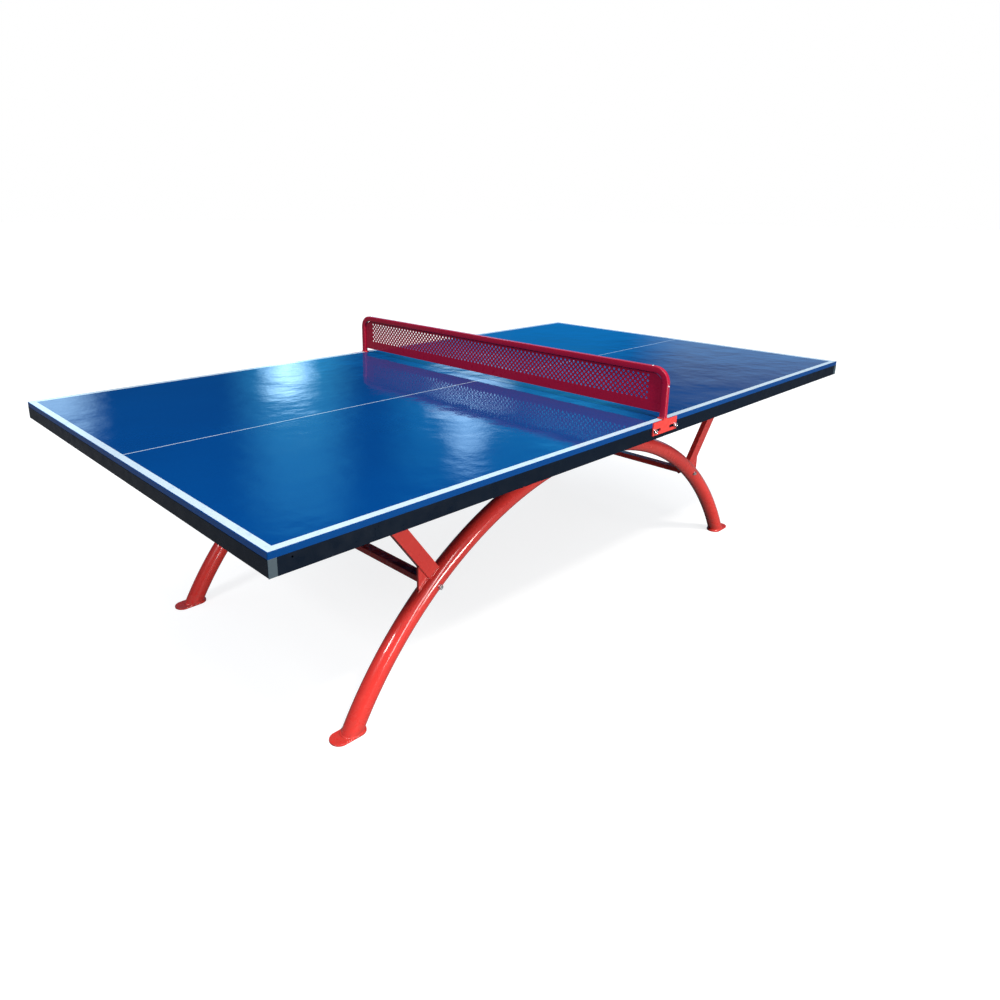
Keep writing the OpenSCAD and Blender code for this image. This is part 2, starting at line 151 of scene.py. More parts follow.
# Soft windows in the room: where the two sides of each one are and where its foot and head are,
# how far its edges fade, all in degrees, and its colour and brightness
windows = (
    ((58.0, 60.6), (10.4, 13.6), 1.3, (2.6, 3.9, 5.0)),
    ((55.5, 62.0), (9.5, 24.0), 2.5, (0.10, 0.78, 1.20)),
    ((44.2, 46.6), (14.6, 19.0), 1.3, (1.3, 2.1, 2.9)),
    ((42.3, 48.0), (12.3, 15.2), 1.3, (1.5, 2.1, 2.7)),
    ((34.0, 50.5), (11.0, 21.0), 2.5, (0.03, 0.45, 0.80)),
    ((32.0, 40.0), (14.4, 17.0), 1.3, (0.05, 0.50, 0.85)),
    ((73.4, 80.0), (11.0, 15.5), 1.8, (1.3, 2.1, 2.8)),
    ((8.0, 62.0), (2.0, 10.5), 2.0, (0.004, 0.30, 0.78)),
    ((4.0, 31.0), (3.0, 13.0), 2.5, (0.30, 0.24, 0.06)),
    ((-104.0, -97.0), (1.0, 62.0), 1.0, (14.0, 14.0, 14.0)))
for (left_side, right_side), (foot, head), fade, light in windows:
    share = 1.0
    window_edges = (
        (compass, left_side, 1), (compass, right_side, -1), (lift, foot, 1), (lift, head, -1))
    for angle, edge, inward in window_edges:
        step = node(tree, "ShaderNodeMapRange", {
            "Value": angle, "From Min": math.radians(edge - fade * inward),
            "From Max": math.radians(edge + fade * inward)}, interpolation_type="SMOOTHSTEP")
        share = maths(tree, "MULTIPLY", step.outputs[0], share)
    shining = node(tree, "ShaderNodeVectorMath", {0: light, 3: share}, operation="SCALE")
    glow = node(tree, "ShaderNodeVectorMath", {
        0: glow, 1: shining.outputs[0]}, operation="ADD").outputs[0]
lit = node(tree, "ShaderNodeBackground", {"Color": glow, "Strength": 1.0})
seen = node(tree, "ShaderNodeBackground", {"Color": (1, 1, 1, 1), "Strength": 1.0})
ray = node(tree, "ShaderNodeLightPath")
both = node(tree, "ShaderNodeMixShader",
            {0: ray.outputs["Is Camera Ray"], 1: lit.outputs[0], 2: seen.outputs[0]})
node(tree, "ShaderNodeOutputWorld", {"Surface": both.outputs[0]})
scene.view_settings.view_transform = "Standard"


def soft_box(name, place, look_at, size, power, colour=(1, 1, 1)):
    data = bpy.data.lights.new(name, "AREA")
    data.shape = "RECTANGLE"
    data.size, data.size_y = size
    data.energy = power
    data.color = colour
    lamp = bpy.data.objects.new(name, data)
    lamp.location = place
    lamp.rotation_euler = (Vector(look_at) - Vector(place)).to_track_quat("-Z", "Y").to_euler()
    lamp.visible_camera = False
    scene.collection.objects.link(lamp)


soft_box("key_light", (-0.8, -4.6, 6.6), (-0.1, -0.4, 0.4), (0.9, 0.9), 560, (1.0, 0.96, 0.90))
soft_box("front_light", (0.2, -3.7, 0.55), (0.1, -0.5, 0.35), (1.2, 0.6), 80, (1.0, 0.97, 0.93))
soft_box("side_light", (-6.5, -1.2, 5.2), (-0.2, 0.0, 0.7), (1.6, 1.6), 260)

# ---- Moulded half tops ----
# Each half is one pressed shell of glass-filled plastic with a turned-down edge and ribs below,
# sprayed blue, with the white lines painted on. Screws from the frame's tabs hold it down.


def merged_copy(node_name, piece_name):
    """A copy of a CAD node's mesh with its loose triangles joined into flat faces."""
    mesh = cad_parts[node_name].data.copy()
    mesh.name = piece_name
    mesh.materials.clear()
    piece = bpy.data.objects.new(piece_name, mesh)
    scene.collection.objects.link(piece)
    shape = bmesh.new()
    shape.from_mesh(mesh)
    bmesh.ops.remove_doubles(shape, verts=shape.verts, dist=1e-6)
    bmesh.ops.dissolve_limit(shape, angle_limit=math.radians(0.5), verts=shape.verts, edges=shape.edges)
    bmesh.ops.recalc_face_normals(shape, faces=shape.faces)
    shape.to_mesh(mesh)
    shape.free()
    return piece


def apply_modifiers(piece):
    """Makes the piece a plain mesh of what its modifiers give."""
    bpy.context.view_layer.update()
    graph = bpy.context.evaluated_depsgraph_get()
    final = bpy.data.meshes.new_from_object(piece.evaluated_get(graph))
    final.name = piece.name
    piece.modifiers.clear()
    old = piece.data
    piece.data = final
    if isinstance(old, bpy.types.Mesh):
        bpy.data.meshes.remove(old)


def soften(piece, width, segments=2, weight_of=None):
    """Rounds the sharp edges; weight_of gives an edge's share of the width."""
    mesh = piece.data
    shape = bmesh.new()
    shape.from_mesh(mesh)
    weights = shape.edges.layers.float
    layer = weights.get("bevel_weight_edge") or weights.new("bevel_weight_edge")
    for edge in shape.edges:
        sharp = len(edge.link_faces) == 2 and edge.calc_face_angle(0) > math.radians(25)
        edge[layer] = (weight_of(edge) if weight_of else 1.0) if sharp else 0.0
    shape.to_mesh(mesh)
    shape.free()
    bevel = piece.modifiers.new("rounding", "BEVEL")
    bevel.width = width
    bevel.segments = segments
    bevel.limit_method = "WEIGHT"
    bevel.use_clamp_overlap = True
    for _ in range(2):
        mesh.materials.append(None)
    bevel.material = 1
    apply_modifiers(piece)
    mesh = piece.data
    rim = mesh.attributes.new("rim", "FLOAT", "FACE")
    for face, mark in zip(mesh.polygons, rim.data):
        mark.value = float(face.material_index == 1)
        face.material_index = 0
    smooth_by_angle(piece)
    flatten = piece.modifiers.new("flat_faces", "WEIGHTED_NORMAL")
    flatten.keep_sharp = True
    flatten.weight = 100
    apply_modifiers(piece)


def smooth_by_angle(piece, degrees=34):
    """Shades a piece smooth except over edges sharper than an angle."""
    mesh = piece.data
    mesh.shade_smooth()
    shape = bmesh.new()
    shape.from_mesh(mesh)
    for edge in shape.edges:
        if len(edge.link_faces) == 2 and edge.calc_face_angle(0) > math.radians(degrees):
            edge.smooth = False
    shape.to_mesh(mesh)
    shape.free()


def paint(piece, material):
    """Gives a piece its material and lets it ride on the table."""
    piece.data.materials.clear()
    piece.data.materials.append(material)
    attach(piece, "root")


table_half_l = 1.37
table_half_w = 0.7625
top_z = 0.76
seam_half = 0.001
border_in = 0.002
border_w = 0.020
middle_line_half = 0.0015

top_paint = bpy.data.materials.new("blue_top_paint")
tree = new_tree(top_paint)
coord = node(tree, "ShaderNodeTexCoord").outputs["Object"]
xyz = node(tree, "ShaderNodeSeparateXYZ", {"Vector": coord})


def noise(tree, where, scale, detail=2.0, roughness=0.5):
    made = node(tree, "ShaderNodeTexNoise",
                {"Vector": where, "Scale": scale, "Detail": detail, "Roughness": roughness})
    return made.outputs["Fac"]


def span(tree, value, low, high, to_low=0.0, to_high=1.0):
    made = node(tree, "ShaderNodeMapRange", {"Value": value, "From Min": low, "From Max": high,
                                             "To Min": to_low, "To Max": to_high}, clamp=True)
    return made.outputs[0]


def blend_colour(tree, share, a, b):
    return node(tree, "ShaderNodeMix", {0: share, 6: a, 7: b}, data_type="RGBA").outputs[2]


def bump(tree, height, distance, strength=1.0, after=None):
    made = node(tree, "ShaderNodeBump", {"Height": height, "Distance": distance, "Strength": strength})
    if after is not None:
        tree.links.new(after, made.inputs["Normal"])
    return made.outputs[0]


# Distance in from the long edges and from the end, and the lines drawn by it
uneven = 0.0006
fuzz = maths(tree, "MULTIPLY", maths(tree, "SUBTRACT", noise(tree, coord, 900.0, 1.0), 0.5), uneven)
along_x = maths(tree, "ABSOLUTE", xyz.outputs["X"])
along_y = maths(tree, "ABSOLUTE", xyz.outputs["Y"])
from_side = maths(tree, "ADD", maths(tree, "SUBTRACT", table_half_w, along_y), fuzz)
from_end = maths(tree, "ADD", maths(tree, "SUBTRACT", table_half_l, along_x), fuzz)
inner = maths(tree, "MINIMUM", from_side, from_end)
line_edge = 0.0004
border = maths(tree, "MULTIPLY",
               span(tree, inner, border_in, border_in + line_edge),
               span(tree, inner, border_in + border_w, border_in + border_w + line_edge, 1.0, 0.0))
from_middle = maths(tree, "ADD", along_y, fuzz)
middle = span(tree, from_middle, middle_line_half, middle_line_half + line_edge, 1.0, 0.0)
facing_way = node(tree, "ShaderNodeNewGeometry").outputs["Normal"]
upward = node(tree, "ShaderNodeSeparateXYZ", {"Vector": facing_way})
on_top = span(tree, upward.outputs["Z"], 0.90, 0.97)
lines = maths(tree, "MULTIPLY", maths(tree, "MAXIMUM", border, middle), on_top)
# Blue that drifts a little in shade, white worn thin in places, faint scuffs and orange peel
drift = noise(tree, coord, 1.6, 3.0)
grain = noise(tree, coord, 260.0, 2.0)
blue = blend_colour(tree, drift, (0.0005, 0.024, 0.115, 1), (0.0007, 0.040, 0.165, 1))
blue = blend_colour(tree, span(tree, grain, 0.35, 0.75, 0.0, 0.25), blue, (0.0010, 0.050, 0.190, 1))
worn = noise(tree, coord, 55.0, 5.0, 0.65)
white = blend_colour(tree, span(tree, worn, 0.55, 0.75), (0.38, 0.47, 0.54, 1), (0.27, 0.37, 0.46, 1))
blue_and_white = blend_colour(tree, lines, blue, white)
scuffs = span(tree, noise(tree, coord, 9.0, 8.0, 0.7), 0.5, 0.8)
gloss = maths(tree, "ADD", span(tree, scuffs, 0.0, 1.0, 0.06, 0.12),
              maths(tree, "MULTIPLY", span(tree, upward.outputs["Z"], -0.5, 0.5, 1.0, 0.0), 0.35))
waves = noise(tree, coord, 5.5, 2.0, 0.45)
peel = noise(tree, coord, 170.0, 2.0, 0.5)
surface = bump(tree, waves, 0.0018, 1.0)
surface = bump(tree, noise(tree, coord, 24.0, 3.0, 0.55), 0.0004, 1.0, surface)
surface = bump(tree, peel, 0.00003, 1.0, surface)
surface = bump(tree, lines, 0.00012, 1.0, surface)
shader = node(tree, "ShaderNodeBsdfPrincipled", {
    "Base Color": blue_and_white, "Roughness": gloss, "Normal": surface,
    "IOR": 1.23, "Specular Tint": (0.45, 0.75, 1.0, 1)})
node(tree, "ShaderNodeOutputMaterial", {"Surface": shader.outputs[0]})

top_rim = 0.0016


def top_weight(edge):
    """Full rounding at the playing surface, less round below it."""
    return 1.0 if max(vert.co.z for vert in edge.verts) > top_z - 1e-4 else 0.35


ends = ("left", "right")
for end in ends:
    top = merged_copy("half_top_" + end, "table_top_" + end)
    soften(top, top_rim, 3, top_weight)
    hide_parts("half_top_" + end)
    paint(top, top_paint)

# ---- Frame rails ----
# Under each half: two side rails, an end rail, a rail at the seam and two bearers over the legs,
# all of rectangular steel tube, welded at the corners and powder-coated navy.

rail_paint = bpy.data.materials.new("navy_powder_coat")
tree = new_tree(rail_paint)
coord = node(tree, "ShaderNodeTexCoord").outputs["Object"]
shade = noise(tree, coord, 3.0, 4.0)
navy = blend_colour(tree, shade, (0.0004, 0.0028, 0.0075, 1), (0.0008, 0.0048, 0.0125, 1))
dust = span(tree, noise(tree, coord, 22.0, 7.0, 0.7), 0.56, 0.80, 0.0, 0.18)
navy = blend_colour(tree, dust, navy, (0.016, 0.026, 0.038, 1))
peel = noise(tree, coord, 420.0, 2.0)
surface = bump(tree, peel, 0.00008)
surface = bump(tree, noise(tree, coord, 14.0, 2.0), 0.0006, 0.6, surface)
dull = span(tree, noise(tree, coord, 30.0, 5.0), 0.3, 0.75, 0.24, 0.40)
shader = node(tree, "ShaderNodeBsdfPrincipled", {
    "Base Color": navy, "Roughness": dull, "Normal": surface, "IOR": 1.20})
node(tree, "ShaderNodeOutputMaterial", {"Surface": shader.outputs[0]})

tube_corner = 0.0022


def tube_weight(edge):
    """Full rounding along a tube, a light break of the edge at its sawn ends and holes."""
    return 1.0 if edge.calc_length() > 0.09 else 0.16


sides = ("near", "far")
rails = ["end_rail_" + end for end in ends] + ["seam_rail_" + end for end in ends]
rails += [f"{kind}_{end}_{side}" for kind in ("side_rail", "bearer") for end in ends for side in sides]
for name in rails:
    rail = merged_copy(name, name + "_tube")
    soften(rail, tube_corner, 3, tube_weight)
    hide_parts(name)
    paint(rail, rail_paint)

# Beads of weld where the rails and bearers butt against the end and seam rails


def geometry_tree(name, sizes):
    """A Geometry Nodes tree with a geometry in and out and a named input for each size."""
    made = bpy.data.node_groups.new(name, "GeometryNodeTree")
    made.interface.new_socket("Geometry", in_out="INPUT", socket_type="NodeSocketGeometry")
    for label, kind in sizes.items():
        made.interface.new_socket(label, in_out="INPUT", socket_type="NodeSocket" + kind)
    made.interface.new_socket("Geometry", in_out="OUTPUT", socket_type="NodeSocketGeometry")
    return made, made.nodes.new("NodeGroupInput").outputs


def finish_tree(tree, geometry, material):
    real = node(tree, "GeometryNodeRealizeInstances", {"Geometry": geometry})
    dressed = node(tree, "GeometryNodeSetMaterial", {"Geometry": real.outputs[0], "Material": material})
    node(tree, "NodeGroupOutput", {"Geometry": dressed.outputs[0]})


def grown(piece_name, tree, sizes, start=None):
    """The plain mesh that a tree gives with its named inputs set."""
    piece = bpy.data.objects.new(piece_name, start or bpy.data.meshes.new(piece_name))
    scene.collection.objects.link(piece)
    modifier = piece.modifiers.new(tree.name, "NODES")
    modifier.node_group = tree
    for item in tree.interface.items_tree:
        if item.in_out == "INPUT" and item.name in sizes:
            modifier[item.identifier] = sizes[item.name]
    apply_modifiers(piece)
    return piece


def strands(paths):
    """A mesh of bare lines; each path is (points, closed)."""
    points, lines = [], []
    for path, closed in paths:
        first = len(points)
        points += [tuple(point) for point in path]
        lines += [(first + i, first + i + 1) for i in range(len(path) - 1)]
        if closed:
            lines.append((len(points) - 1, first))
    mesh = bpy.data.meshes.new("paths")
    mesh.from_pydata(points, lines, [])
    return mesh


bead_tree, given = geometry_tree("weld_bead", {
    "Radius": "Float", "Step": "Float", "Pitch": "Float", "Unevenness": "Float", "Material": "Material"})
run = node(bead_tree, "GeometryNodeMeshToCurve", {"Mesh": given["Geometry"]})
run = node(bead_tree, "GeometryNodeResampleCurve", {
    "Curve": run.outputs[0], "Length": given["Step"]}, mode="LENGTH")
along = node(bead_tree, "GeometryNodeSplineParameter").outputs["Length"]
turn = maths(bead_tree, "MULTIPLY", maths(bead_tree, "DIVIDE", along, given["Pitch"]), math.pi)
scallop = maths(bead_tree, "ABSOLUTE", maths(bead_tree, "SINE", turn))
wander = node(bead_tree, "ShaderNodeTexNoise", {"Scale": 90.0, "Detail": 1.0}).outputs["Fac"]
swell = maths(bead_tree, "MULTIPLY", maths(bead_tree, "SUBTRACT", wander, 0.5), given["Unevenness"])
fatness = maths(bead_tree, "ADD", maths(bead_tree, "MULTIPLY_ADD", scallop, 0.16, 0.90), swell)
run = node(bead_tree, "GeometryNodeSetCurveRadius", {"Curve": run.outputs[0], "Radius": fatness})
section = node(bead_tree, "GeometryNodeCurvePrimitiveCircle", {
    "Resolution": 8, "Radius": given["Radius"]}, mode="RADIUS")
sweep = node(bead_tree, "GeometryNodeCurveToMesh", {
    "Curve": run.outputs[0], "Profile Curve": section.outputs[0], "Fill Caps": True})
radius_here = node(bead_tree, "GeometryNodeInputRadius").outputs[0]
bead_tree.links.new(radius_here, sweep.inputs["Scale"])
smooth = node(bead_tree, "GeometryNodeSetShadeSmooth", {"Geometry": sweep.outputs[0]})
finish_tree(bead_tree, smooth.outputs[0], given["Material"])


def welds(piece_name, paths, radius, material):
    """One piece with a bead of weld along every path."""
    bead = grown(piece_name, bead_tree, {
        "Radius": radius, "Step": radius * 0.45, "Pitch": radius * 1.5,
        "Unevenness": 0.5, "Material": material}, strands(paths))
    paint(bead, material)


rail_w = 0.020
rail_h = 0.040
rail_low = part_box("end_rail_right")[0][2]
rail_high = rail_low + rail_h
end_inner_x = table_half_l - rail_w
seam_inner_x = seam_half + rail_w
side_inner_y = table_half_w - rail_w
arch_y = 0.4825
bearer_half = 0.015
tab_thick = 0.003
bead_r = 0.0018
bead_top = rail_high - tab_thick
bead_low = rail_low + 0.0005
paths = []
for sx in (-1, 1):
    for x in (seam_inner_x, end_inner_x):
        for sy in (-1, 1):
            y = sy * side_inner_y
            paths.append(([(sx * x, y, bead_top), (sx * x, y, rail_low)], False))
            a, b = sy * (arch_y - bearer_half), sy * (arch_y + bearer_half)
            paths.append(([(sx * x, a, bead_top), (sx * x, a, bead_low),
                           (sx * x, b, bead_low), (sx * x, b, bead_top)], False))
welds("rail_welds", paths, bead_r, rail_paint)

# ---- Rail end caps ----
# Dark grey plastic plugs pressed into the open ends of the end rails.

cap_plastic = bpy.data.materials.new("grey_plastic")
tree = new_tree(cap_plastic)
coord = node(tree, "ShaderNodeTexCoord").outputs["Object"]
grey = blend_colour(tree, noise(tree, coord, 40.0, 4.0), (0.018, 0.036, 0.050, 1), (0.028, 0.052, 0.068, 1))
scratch = node(tree, "ShaderNodeMapping", {"Vector": coord, "Scale": (40.0, 400.0, 900.0)})
surface = bump(tree, noise(tree, coord, 1800.0, 2.0), 0.00005)
surface = bump(tree, noise(tree, scratch.outputs[0], 1.0, 3.0), 0.00003, 1.0, surface)
shader = node(tree, "ShaderNodeBsdfPrincipled", {
    "Base Color": grey, "Roughness": span(tree, noise(tree, coord, 90.0, 4.0), 0.3, 0.7, 0.38, 0.55),
    "Normal": surface})
node(tree, "ShaderNodeOutputMaterial", {"Surface": shader.outputs[0]})
caps = merged_copy("rail_end_caps", "rail_end_plugs")
soften(caps, 0.0007, 3)
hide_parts("rail_end_caps")
paint(caps, cap_plastic)

# ---- Tabs and screws of the tops ----
# Flat tabs welded inside the side rails, and a screw up through each one into a moulded boss.

for end in ends:
    tabs = merged_copy("top_tabs_" + end, "hold_down_tabs_" + end)
    soften(tabs, 0.0005, 2)
    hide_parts("top_tabs_" + end)
    paint(tabs, rail_paint)

zinc = bpy.data.materials.new("zinc_plate")
tree = new_tree(zinc)
coord = node(tree, "ShaderNodeTexCoord").outputs["Object"]
tone = noise(tree, coord, 140.0, 4.0, 0.6)
metal = blend_colour(tree, tone, (0.52, 0.53, 0.55, 1), (0.78, 0.79, 0.80, 1))
stain = span(tree, noise(tree, coord, 60.0, 6.0, 0.7), 0.58, 0.78, 0.0, 0.6)
metal = blend_colour(tree, stain, metal, (0.30, 0.29, 0.27, 1))
shader = node(tree, "ShaderNodeBsdfPrincipled", {
    "Base Color": metal, "Metallic": 1.0, "Roughness": span(tree, tone, 0.3, 0.7, 0.20, 0.36),
    "Normal": bump(tree, noise(tree, coord, 1500.0, 2.0), 0.00002)})
node(tree, "ShaderNodeOutputMaterial", {"Surface": shader.outputs[0]})


def turned(name, rings, closed=False, corners=24):
    """A closed shape of rings (size, height, kind) about Z; a hex ring's size is across its flats."""
    shape = bmesh.new()
    rows = []
    for size, height, kind in rings:
        row = []
        for i in range(corners):
            angle = 2 * math.pi * i / corners
            to_flat = (angle % (math.pi / 3)) - math.pi / 6
            radius, z = size, height
            if kind != "round":
                radius = size / 2 / math.cos(to_flat)
            if kind == "chamfered":
                z = height - (radius - size / 2 * 0.95) * math.tan(math.radians(30))
            row.append(shape.verts.new((radius * math.cos(angle), radius * math.sin(angle), z)))
        rows.append(row)
    loops = rows + [rows[0]] if closed else rows
    for low, high in zip(loops, loops[1:]):
        for i in range(corners):
            j = (i + 1) % corners
            shape.faces.new((low[i], low[j], high[j], high[i]))
    if not closed:
        shape.faces.new(list(reversed(rows[0])))
        shape.faces.new(rows[-1])
    bmesh.ops.recalc_face_normals(shape, faces=shape.faces)
    mesh = bpy.data.meshes.new(name)
    shape.to_mesh(mesh)
    shape.free()
    return bpy.data.objects.new(name, mesh)


fastener_tree, given = geometry_tree("set_fasteners", {
    "Shape": "Object", "Turn": "Float", "Seed": "Int", "Material": "Material"})
facing = node(fastener_tree, "GeometryNodeInputNamedAttribute", {
    "Name": "facing"}, data_type="FLOAT_VECTOR")
aimed = node(fastener_tree, "FunctionNodeAlignRotationToVector", {
    "Vector": facing.outputs[0]}, axis="Z")
spin = node(fastener_tree, "FunctionNodeRandomValue", {"Seed": given["Seed"]}, data_type="FLOAT")
spin_by = maths(fastener_tree, "MULTIPLY", spin.outputs[1], given["Turn"])
spin_by = node(fastener_tree, "ShaderNodeCombineXYZ", {"Z": spin_by})
aimed = node(fastener_tree, "FunctionNodeRotateRotation", {
    "Rotation": aimed.outputs[0], "Rotate By": spin_by.outputs[0]}, rotation_space="LOCAL")
shape_in = node(fastener_tree, "GeometryNodeObjectInfo", {"Object": given["Shape"]})
placed = node(fastener_tree, "GeometryNodeInstanceOnPoints", {
    "Points": given["Geometry"], "Instance": shape_in.outputs["Geometry"], "Rotation": aimed.outputs[0]})
finish_tree(fastener_tree, placed.outputs[0], given["Material"])


def fasteners(piece_name, shape, places, node_name, seed, turn=math.pi / 3):
    """One like fastener at each place; a place is (point, the way its head faces)."""
    mesh = bpy.data.meshes.new("places")
    mesh.from_pydata([point for point, _ in places], [], [])
    facing = mesh.attributes.new("facing", "FLOAT_VECTOR", "POINT")
    for item, (_, way) in zip(facing.data, places):
        item.vector = way
    scene.collection.objects.link(shape)
    piece = grown(piece_name, fastener_tree, {
        "Shape": shape, "Turn": turn, "Seed": seed, "Material": zinc}, mesh)
    bpy.data.objects.remove(shape)
    smooth_by_angle(piece, 28)
    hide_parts(node_name)
    paint(piece, zinc)


# Left or right and near or far, as signs
four_ways = [(sx, sy) for sx in (-1, 1) for sy in (-1, 1)]
tab_xs = (0.250, 0.700, 1.150)
tab_y = table_half_w - 0.034
tab_low = rail_high - tab_thick
screw_shape = turned("tapping_screw", [
    (0.0008, -0.0100, "round"), (0.0021, -0.0080, "round"), (0.0021, 0.0, "round"),
    (0.0045, 0.0, "round"), (0.0045, 0.0006, "round"), (0.0040, 0.0017, "round"),
    (0.0028, 0.0024, "round"), (0.0030, 0.0025, "hex"), (0.0028, 0.0010, "hex")])
fasteners("top_fixing_screws", screw_shape,
          [((sx * x, sy * tab_y, tab_low), (0, 0, -1)) for sx, sy in four_ways for x in tab_xs],
          "top_screws", 3)

# ---- Arched legs ----
# Two lengths of 58 mm round tube bent to one even curve, cut level at the floor and powder-coated
# red. Each foot is welded to a flat plate with rounded ends.

leg_paint = bpy.data.materials.new("red_powder_coat")
tree = new_tree(leg_paint)
coord = node(tree, "ShaderNodeTexCoord").outputs["Object"]
xyz = node(tree, "ShaderNodeSeparateXYZ", {"Vector": coord})
red = blend_colour(tree, noise(tree, coord, 4.0, 4.0), (0.46, 0.020, 0.018, 1), (0.60, 0.042, 0.030, 1))
red = blend_colour(tree, span(tree, noise(tree, coord, 35.0, 6.0, 0.7), 0.55, 0.8, 0.0, 0.3),
                   red, (0.72, 0.075, 0.055, 1))
low_down = span(tree, xyz.outputs["Z"], 0.0, 0.09, 1.0, 0.0)
grime = maths(tree, "MULTIPLY", low_down, span(tree, noise(tree, coord, 70.0, 6.0, 0.7), 0.42, 0.7))
red = blend_colour(tree, maths(tree, "MULTIPLY", grime, 0.45), red, (0.16, 0.05, 0.035, 1))
rim = node(tree, "ShaderNodeAttribute", attribute_name="rim").outputs["Fac"]
chips = maths(tree, "MULTIPLY", rim, span(tree, noise(tree, coord, 260.0, 4.0, 0.6), 0.60, 0.66))
red = blend_colour(tree, maths(tree, "MULTIPLY", chips, 0.7), red, (0.30, 0.02, 0.02, 1))
surface = bump(tree, noise(tree, coord, 330.0, 2.0), 0.00009)
surface = bump(tree, noise(tree, coord, 24.0, 2.0), 0.0002, 0.5, surface)
gloss = maths(tree, "ADD", span(tree, noise(tree, coord, 30.0, 5.0), 0.3, 0.75, 0.20, 0.32),
              maths(tree, "MULTIPLY", grime, 0.35))
shader = node(tree, "ShaderNodeBsdfPrincipled", {
    "Base Color": red, "Roughness": gloss, "Normal": surface, "IOR": 1.30, "Coat Weight": 0.8,
    "Coat Roughness": 0.04})
node(tree, "ShaderNodeOutputMaterial", {"Surface": shader.outputs[0]})

# The bend is part of a circle whose middle lies below the floor
bend_r = 1.14795
bend_z = -0.55295
leg_r = 0.029
foot_top = 0.006

bent_tree, given = geometry_tree("bent_tube", {
    "Bend radius": "Float", "Tube radius": "Float", "Start": "Float", "Sweep": "Float",
    "Rings": "Int", "Corners": "Int", "Middle": "Vector", "Material": "Material"})
bend = node(bent_tree, "GeometryNodeCurveArc", {
    "Resolution": given["Rings"], "Radius": given["Bend radius"], "Start Angle": given["Start"],
    "Sweep Angle": given["Sweep"]}, mode="RADIUS")
section = node(bent_tree, "GeometryNodeCurvePrimitiveCircle", {
    "Resolution": given["Corners"], "Radius": given["Tube radius"]}, mode="RADIUS")
sweep = node(bent_tree, "GeometryNodeCurveToMesh", {
    "Curve": bend.outputs[0], "Profile Curve": section.outputs[0], "Fill Caps": True})
stood = node(bent_tree, "GeometryNodeTransform", {
    "Geometry": sweep.outputs[0], "Translation": given["Middle"], "Rotation": (math.pi / 2, 0, 0)})
smooth = node(bent_tree, "GeometryNodeSetShadeSmooth", {"Geometry": stood.outputs[0]})
finish_tree(bent_tree, smooth.outputs[0], given["Material"])


def cut_level(piece, z):
    """Cuts away all of a closed piece below a height and closes the cut."""
    shape = bmesh.new()
    shape.from_mesh(piece.data)
    everything = shape.verts[:] + shape.edges[:] + shape.faces[:]
    cut = bmesh.ops.bisect_plane(shape, geom=everything, plane_co=(0, 0, z), plane_no=(0, 0, 1),
                                 clear_inner=True)
    rim_edges = [item for item in cut["geom_cut"] if isinstance(item, bmesh.types.BMEdge)]
    bmesh.ops.holes_fill(shape, edges=rim_edges)
    bmesh.ops.recalc_face_normals(shape, faces=shape.faces)
    shape.to_mesh(piece.data)
    shape.free()


for side, sy in zip(sides, (-1, 1)):
    arch = grown("arched_leg_" + side, bent_tree, {
        "Bend radius": bend_r, "Tube radius": leg_r, "Start": math.radians(25), "Sweep": math.radians(130),
        "Rings": 170, "Corners": 48, "Middle": (0, sy * arch_y, bend_z), "Material": leg_paint})
    cut_level(arch, foot_top)
    smooth_by_angle(arch, 60)
    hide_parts("arch_" + side)
    paint(arch, leg_paint)

for end in ends:
    for side in sides:
        name = f"foot_plate_{end}_{side}"
        plate = merged_copy(name, name + "_steel")
        soften(plate, 0.0012, 3)
        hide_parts(name)
        paint(plate, leg_paint)

foot_beads = []
bead_z = foot_top + 0.0006
ring_points = 64
for sx, sy in four_ways:
    ring = []
    for i in range(ring_points):
        angle = 2 * math.pi * i / ring_points
        reach = bend_r + (leg_r + 0.0005) * math.cos(angle)
        across = math.sqrt(reach ** 2 - (bead_z - bend_z) ** 2)
        ring.append((sx * across, sy * arch_y + leg_r * math.sin(angle), bead_z))
    foot_beads.append((ring, True))
welds("foot_welds", foot_beads, 0.0026, leg_paint)

# ---- Posts on the crowns ----
# A short rectangular tube on top of each arch, cut to sit on the curve and welded there, with a
# plate above it that is bolted up to the two bearers.

for side, sy in zip(sides, (-1, 1)):
    for kind, width in (("crown_post", 0.002), ("crown_plate", 0.0008)):
        piece = merged_copy(f"{kind}_{side}", f"{kind}_{side}_steel")
        soften(piece, width, 3, tube_weight if kind == "crown_post" else None)
        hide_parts(f"{kind}_{side}")
        paint(piece, leg_paint)

plate_low = 0.699


def on_arch(u, v):
    """How far from the middle of the bend the top of the arch is, u along it and v across."""
    reach = bend_r + math.sqrt(max(leg_r ** 2 - v ** 2, 0))
    return math.sqrt(reach ** 2 - u ** 2)


def box_outline(half_u, half_v, corner, steps=10):
    """Points round a rectangle with rounded corners."""
    outline = []
    for i, (su, sv) in enumerate(((1, 1), (-1, 1), (-1, -1), (1, -1))):
        for j in range(5):
            angle = math.pi / 2 * (i + j / 4)
            outline.append((su * (half_u - corner) + corner * math.cos(angle),
                            sv * (half_v - corner) + corner * math.sin(angle)))
        nu, nv = ((-1, 1), (-1, -1), (1, -1), (1, 1))[i]
        ends_at = (nu * (half_u - corner) + corner * math.cos(math.pi / 2 * (i + 1)),
                   nv * (half_v - corner) + corner * math.sin(math.pi / 2 * (i + 1)))
        start = outline[-1]
        for k in range(1, steps):
            t = k / steps
            outline.append((start[0] + (ends_at[0] - start[0]) * t,
                            start[1] + (ends_at[1] - start[1]) * t))
    return outline


